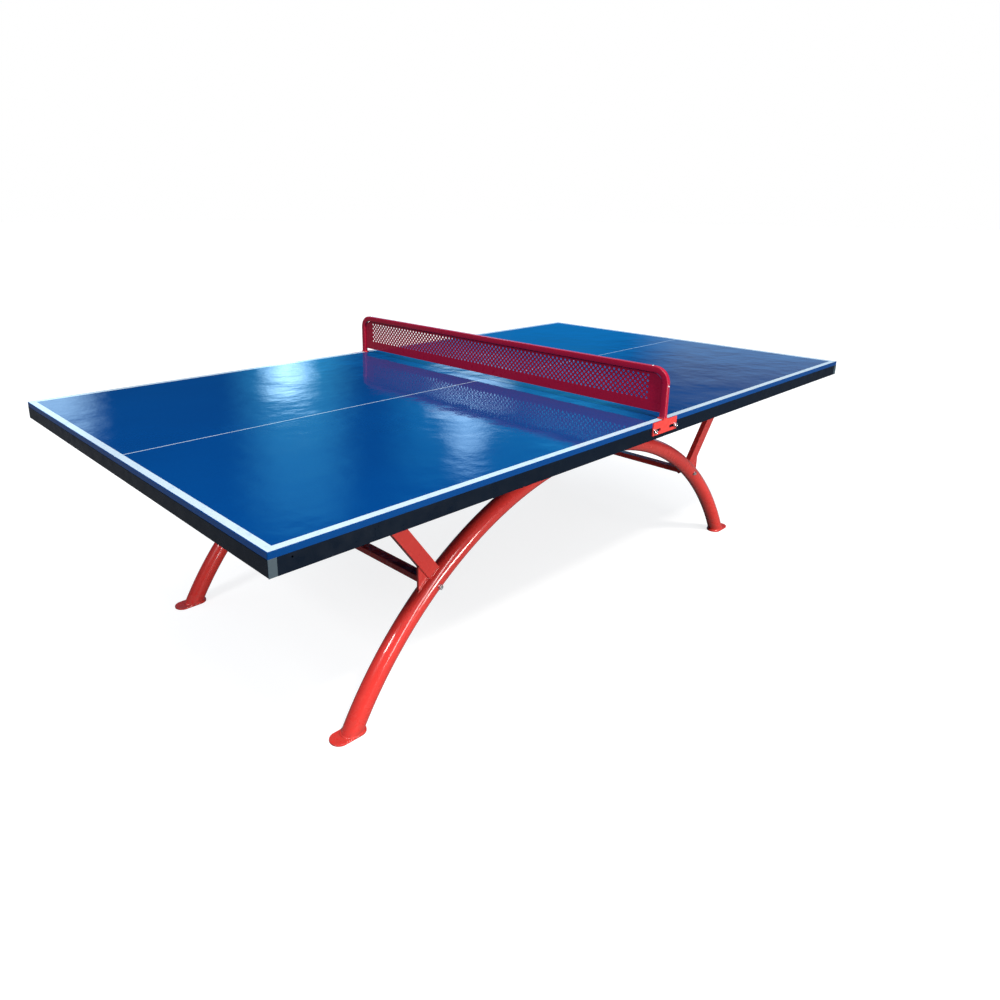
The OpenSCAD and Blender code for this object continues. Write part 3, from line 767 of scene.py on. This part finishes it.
post_half_l = 0.070
post_half_w = 0.025
post_beads = []
for sy in (-1, 1):
    outline = box_outline(post_half_l, post_half_w, 0.003)
    post_beads.append(([(u, sy * arch_y + v, bend_z + on_arch(u, v)) for u, v in outline], True))
    post_beads.append(([(u, sy * arch_y + v, plate_low) for u, v in outline], True))
welds("crown_post_welds", post_beads, 0.0022, leg_paint)

# ---- Braces and gussets ----
# A 44 x 20 tube leans out from each quarter of the arches, square to the curve, and is welded to
# a plate that is bolted up to the bearer. A triangle of plate is welded into its lower corner.

for end in ends:
    for side in sides:
        for kind, width in (("brace", 0.0022), ("brace_plate", 0.0008)):
            name = f"{kind}_{end}_{side}"
            piece = merged_copy(name, name + "_steel")
            soften(piece, width, 3, tube_weight if kind == "brace" else None)
            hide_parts(name)
            paint(piece, leg_paint)

brace_x = 0.692
brace_half_w = 0.022
brace_half_d = 0.010
lean = math.asin(brace_x / bend_r)
brace_beads = []
for sx, sy in four_ways:
    at_arch, at_plate = [], []
    for u, v in box_outline(brace_half_w, brace_half_d, 0.0022):
        for run_out, w in ((at_arch, on_arch(u, v)),
                           (at_plate, (plate_low - bend_z + u * math.sin(lean)) / math.cos(lean))):
            run_out.append((sx * (w * math.sin(lean) + u * math.cos(lean)), sy * (arch_y + v),
                            bend_z + w * math.cos(lean) - u * math.sin(lean)))
    brace_beads += [(at_arch, True), (at_plate, True)]
welds("brace_welds", brace_beads, 0.0022, leg_paint)

gusset_x = 0.763
gusset_half_t = 0.004
gusset_in_x = 0.727
# How far out from the bend its weld to the brace starts and ends
corner_s = 0.0288
brace_out_x = brace_x + brace_half_w * math.cos(lean)
reach_s = (gusset_x - brace_out_x) / math.sin(lean)
sunk_r = bend_r + leg_r - 0.0003
gusset_steps = 8
gusset_beads = []
for sx, sy in four_ways:
    for v in (-gusset_half_t, gusset_half_t):
        beside = []
        for s in (corner_s, (corner_s + reach_s) / 2, reach_s - 0.001):
            beside.append((sx * (brace_out_x + s * math.sin(lean)), sy * arch_y + v,
                           bend_z + (bend_r + s) * math.cos(lean) - brace_half_w * math.sin(lean)))
        along = []
        for i in range(gusset_steps + 1):
            x = gusset_in_x + (gusset_x - gusset_in_x) * i / gusset_steps
            along.append((sx * x, sy * arch_y + v, bend_z + math.sqrt(sunk_r ** 2 - x ** 2)))
        gusset_beads += [(beside, False), (along, False)]
for end in ends:
    for side in sides:
        name = f"gusset_{end}_{side}"
        piece = merged_copy(name, name + "_plate")
        soften(piece, 0.0008, 2)
        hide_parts(name)
        paint(piece, leg_paint)
welds("gusset_welds", gusset_beads, 0.0020, leg_paint)

# ---- Cross beams ----
# A 36 x 20 tube lies flat between the arches at each end, with a plate welded on both of its
# ends. A bolt through the arch and the plate runs into a nut that is welded inside the beam.

beam_end = 0.4475
beam_x = 0.704
beam_z = 0.346
beam_half_w = 0.018
beam_half_h = 0.010
for end in ends:
    beam = merged_copy("cross_beam_" + end, f"cross_beam_{end}_tube")
    soften(beam, 0.0024, 3, tube_weight)
    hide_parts("cross_beam_" + end)
    paint(beam, leg_paint)
    for side in sides:
        name = f"beam_plate_{end}_{side}"
        piece = merged_copy(name, name + "_steel")
        soften(piece, 0.0010, 3)
        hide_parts(name)
        paint(piece, leg_paint)
beam_beads = [([(sx * beam_x + u, sy * (beam_end - 0.0004), beam_z + v)
                for u, v in box_outline(beam_half_w, beam_half_h, 0.003)], True) for sx, sy in four_ways]
welds("cross_beam_welds", beam_beads, 0.0018, leg_paint)

# ---- Bolts of the legs ----
# M8 hexagon bolts and washers of zinc-plated steel, through the arches into the cross beams and
# up through the plates into nuts welded inside the bearers.


m8_r = 0.004
m8_flats = 0.013
m8_head = 0.0053
m8_washer_in = 0.0042
m8_washer_out = 0.008
m8_washer_thick = 0.0016


def m8_bolt(name, length):
    """A hexagon bolt whose head sits on Z = 0, with a shallow dish in its top."""
    return turned(name, [
        (m8_r * 0.78, -length, "round"), (m8_r, -length + 0.001, "round"), (m8_r, -0.0003, "round"),
        (m8_flats * 0.47, -0.0003, "round"), (m8_flats * 0.47, 0.0003, "round"),
        (m8_flats, 0.0004, "hex"), (m8_flats, m8_head, "chamfered"),
        (m8_flats * 0.475, m8_head, "round"), (m8_flats * 0.40, m8_head, "round"),
        (m8_flats * 0.385, m8_head - 0.0003, "round")])


def m8_washer(name):
    """A flat washer with slightly rounded outer edges."""
    edge = m8_washer_thick * 0.2
    return turned(name, [
        (m8_washer_in, 0, "round"), (m8_washer_out - edge, 0, "round"), (m8_washer_out, edge, "round"),
        (m8_washer_out, m8_washer_thick - edge, "round"), (m8_washer_out - edge, m8_washer_thick, "round"),
        (m8_washer_in, m8_washer_thick, "round")], closed=True)


def on_legs(out):
    """A place for each bolt of an arch, this far out from the tube."""
    return [((sx * beam_x, sy * (arch_y + leg_r + out), beam_z), (0, sy, 0)) for sx, sy in four_ways]


def under_plates(down):
    """A place for each bolt of the plates, this far below them."""
    return [((sx * x, sy * arch_y, plate_low - down), (0, 0, -1))
            for sx, sy in four_ways for x in frame_bolt_xs]


frame_bolt_xs = (0.088, 0.114, 0.8899, 0.9859)
fasteners("leg_hex_bolts", m8_bolt("leg_bolt", 0.0751), on_legs(m8_washer_thick), "leg_bolts", 11)
fasteners("leg_washers", m8_washer("leg_washer"), on_legs(0), "leg_bolt_washers", 12)
fasteners("frame_hex_bolts", m8_bolt("frame_bolt", 0.0181), under_plates(m8_washer_thick),
          "frame_bolts", 13)
fasteners("frame_washers", m8_washer("frame_washer"), under_plates(0), "frame_bolt_washers", 14)

# ---- Net ----
# A bent rectangular tube makes the outline and stands on the lips of two brackets. A sheet of
# perforated steel fills it, and there are two small screws at each upper corner.

net_paint = bpy.data.materials.new("crimson_paint")
tree = new_tree(net_paint)
coord = node(tree, "ShaderNodeTexCoord").outputs["Object"]
crimson = blend_colour(tree, noise(tree, coord, 4.0, 4.0), (0.26, 0.004, 0.020, 1), (0.34, 0.006, 0.029, 1))
crimson = blend_colour(tree, span(tree, noise(tree, coord, 45.0, 6.0, 0.7), 0.55, 0.8, 0.0, 0.3),
                       crimson, (0.40, 0.018, 0.042, 1))
surface = bump(tree, noise(tree, coord, 420.0, 2.0), 0.00006)
surface = bump(tree, noise(tree, coord, 11.0, 2.0), 0.0007, 0.5, surface)
shader = node(tree, "ShaderNodeBsdfPrincipled", {
    "Base Color": crimson, "Roughness": span(tree, noise(tree, coord, 30.0, 5.0), 0.3, 0.75, 0.24, 0.36),
    "Normal": surface, "IOR": 1.35, "Coat Weight": 0.2, "Coat Roughness": 0.06})
node(tree, "ShaderNodeOutputMaterial", {"Surface": shader.outputs[0]})

lip_top = 0.764
net_top = 0.920
net_half = 0.7665
net_face = 0.020
net_deep = 0.015
net_bend = 0.050

bent_box_tree, given = geometry_tree("bent_box_tube", {
    "Bend": "Float", "Face": "Float", "Depth": "Float", "Corner": "Float", "Material": "Material"})
route = node(bent_box_tree, "GeometryNodeMeshToCurve", {"Mesh": given["Geometry"]})
route = node(bent_box_tree, "GeometryNodeFilletCurve", {
    "Curve": route.outputs[0], "Radius": given["Bend"], "Limit Radius": False, "Count": 14}, mode="POLY")
section = node(bent_box_tree, "GeometryNodeCurvePrimitiveQuadrilateral", {
    "Width": given["Depth"], "Height": given["Face"]}, mode="RECTANGLE")
section = node(bent_box_tree, "GeometryNodeFilletCurve", {
    "Curve": section.outputs[0], "Radius": given["Corner"], "Count": 4}, mode="POLY")
sweep = node(bent_box_tree, "GeometryNodeCurveToMesh", {
    "Curve": route.outputs[0], "Profile Curve": section.outputs[0], "Fill Caps": True})
finish_tree(bent_box_tree, sweep.outputs[0], given["Material"])

mid = net_half - net_face / 2
mid_z = net_top - net_face / 2
route = strands([([(0, -mid, lip_top), (0, -mid, mid_z), (0, mid, mid_z), (0, mid, lip_top)], False)])
outline = grown("net_outline_tube", bent_box_tree, {
    "Bend": net_bend - net_face / 2, "Face": net_face, "Depth": net_deep, "Corner": 0.0022,
    "Material": net_paint}, route)
smooth_by_angle(outline, 30)
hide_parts("net_frame")
paint(outline, net_paint)

# The holes stand in two grids, the second set between the first, a little above the panel's middle
panel_low = 0.778
panel_high = 0.900
panel_mid_z = (panel_low + panel_high) / 2
panel_half = net_half - net_face
panel_corner = 0.042
hole_r = 0.004
hole_pitch = 0.018
hole_columns = 78
hole_rows = 5
holes_up = 0.0125
panel_thick = 0.002

sheet_tree, given = geometry_tree("perforated_sheet", {
    "Width": "Float", "Height": "Float", "Top corner": "Float", "Hole radius": "Float", "Pitch": "Float",
    "Columns": "Int", "Rows": "Int", "Field": "Vector", "Middle": "Vector", "Material": "Material"})
edge = node(sheet_tree, "GeometryNodeCurvePrimitiveQuadrilateral", {
    "Width": given["Width"], "Height": given["Height"]}, mode="RECTANGLE")
place = node(sheet_tree, "GeometryNodeInputPosition")
place = node(sheet_tree, "ShaderNodeSeparateXYZ", {"Vector": place.outputs[0]})
above = maths(sheet_tree, "GREATER_THAN", place.outputs["Y"], 0.0)
rounding = maths(sheet_tree, "MULTIPLY", above, given["Top corner"])
edge = node(sheet_tree, "GeometryNodeFilletCurve", {
    "Curve": edge.outputs[0], "Radius": rounding, "Count": 16}, mode="POLY")
fewer_columns = maths(sheet_tree, "SUBTRACT", given["Columns"], 1.0)
fewer_rows = maths(sheet_tree, "SUBTRACT", given["Rows"], 1.0)
parts = [edge.outputs[0]]
hole = node(sheet_tree, "GeometryNodeCurvePrimitiveCircle", {
    "Resolution": 16, "Radius": given["Hole radius"]}, mode="RADIUS")
for columns, rows in ((given["Columns"], given["Rows"]), (fewer_columns, fewer_rows)):
    wide = maths(sheet_tree, "MULTIPLY", maths(sheet_tree, "SUBTRACT", columns, 1.0), given["Pitch"])
    high = maths(sheet_tree, "MULTIPLY", maths(sheet_tree, "SUBTRACT", rows, 1.0), given["Pitch"])
    grid = node(sheet_tree, "GeometryNodeMeshGrid", {
        "Size X": wide, "Size Y": high, "Vertices X": columns, "Vertices Y": rows})
    moved = node(sheet_tree, "GeometryNodeTransform", {
        "Geometry": grid.outputs[0], "Translation": given["Field"]})
    holes = node(sheet_tree, "GeometryNodeInstanceOnPoints", {
        "Points": moved.outputs[0], "Instance": hole.outputs[0]})
    real = node(sheet_tree, "GeometryNodeRealizeInstances", {"Geometry": holes.outputs[0]})
    parts.append(real.outputs[0])
joined = node(sheet_tree, "GeometryNodeJoinGeometry")
for part in parts:
    sheet_tree.links.new(part, joined.inputs[0])
flat = node(sheet_tree, "GeometryNodeFillCurve", {"Curve": joined.outputs[0]}, mode="TRIANGLES")
stood = node(sheet_tree, "GeometryNodeTransform", {
    "Geometry": flat.outputs[0], "Translation": given["Middle"], "Rotation": (math.pi / 2, 0, math.pi / 2)})
finish_tree(sheet_tree, stood.outputs[0], given["Material"])

panel = grown("perforated_net", sheet_tree, {
    "Width": 2 * panel_half, "Height": panel_high - panel_low, "Top corner": panel_corner,
    "Hole radius": hole_r, "Pitch": hole_pitch, "Columns": hole_columns, "Rows": hole_rows,
    "Field": (0, holes_up, 0), "Middle": (0, 0, panel_mid_z), "Material": net_paint})
thick = panel.modifiers.new("thickness", "SOLIDIFY")
thick.thickness = panel_thick
thick.offset = 0
apply_modifiers(panel)
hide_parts("net_panel")
paint(panel, net_paint)

net_screw = turned("net_screw", [
    (0.0012, -0.006, "round"), (0.002, -0.0052, "round"), (0.002, 0, "round"), (0.004, 0, "round"),
    (0.004, 0.0005, "round"), (0.0036, 0.0013, "round"), (0.0027, 0.0019, "round"),
    (0.0021, 0.0022, "round"), (0.0025, 0.0021, "hex"), (0.0024, 0.0010, "hex")])
screw_y = net_half - net_bend - 0.010
screw_z = net_top - net_bend - 0.006
places = []
for sy in (-1, 1):
    places += [((0, sy * screw_y, net_top), (0, 0, 1)), ((0, sy * net_half, screw_z), (0, sy, 0))]
fasteners("net_pan_screws", net_screw, places, "net_screws", 15, math.pi)

# ---- Net brackets ----
# A folded steel plate on each side, bolted to the frames of both halves through two slots, with
# a lip on top that the net's post is welded to.

for side in sides:
    bracket = merged_copy("net_bracket_" + side, f"net_bracket_{side}_plate")
    soften(bracket, 0.0012, 3)
    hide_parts("net_bracket_" + side)
    paint(bracket, leg_paint)
net_bead_r = 0.0012
outline = box_outline(net_deep / 2, net_face / 2 - net_bead_r, 0.0022, 4)
post_beads = [([(u, sy * mid + v, lip_top + 0.0004) for u, v in outline], True) for sy in (-1, 1)]
welds("net_post_welds", post_beads, net_bead_r, net_paint)
bracket_bolt_x = 0.057
bracket_bolt_z = 0.733


def on_brackets(out):
    """A place for each bolt of a bracket, this far out from the plate."""
    return [((sx * bracket_bolt_x, sy * (net_half + out), bracket_bolt_z), (0, sy, 0))
            for sx, sy in four_ways]


fasteners("bracket_hex_bolts", m8_bolt("bracket_bolt", 0.0151), on_brackets(m8_washer_thick),
          "net_bracket_bolts", 16)
fasteners("bracket_washers", m8_washer("bracket_washer"), on_brackets(0), "net_bracket_washers", 17)

# ---- Nuts inside the tubes ----
# Welded in before the frames are painted, and seen only through an open tube end.

for name in ("leg_weld_nuts", "frame_weld_nuts", "net_bracket_weld_nuts"):
    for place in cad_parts[name].material_slots:
        place.material = zinc
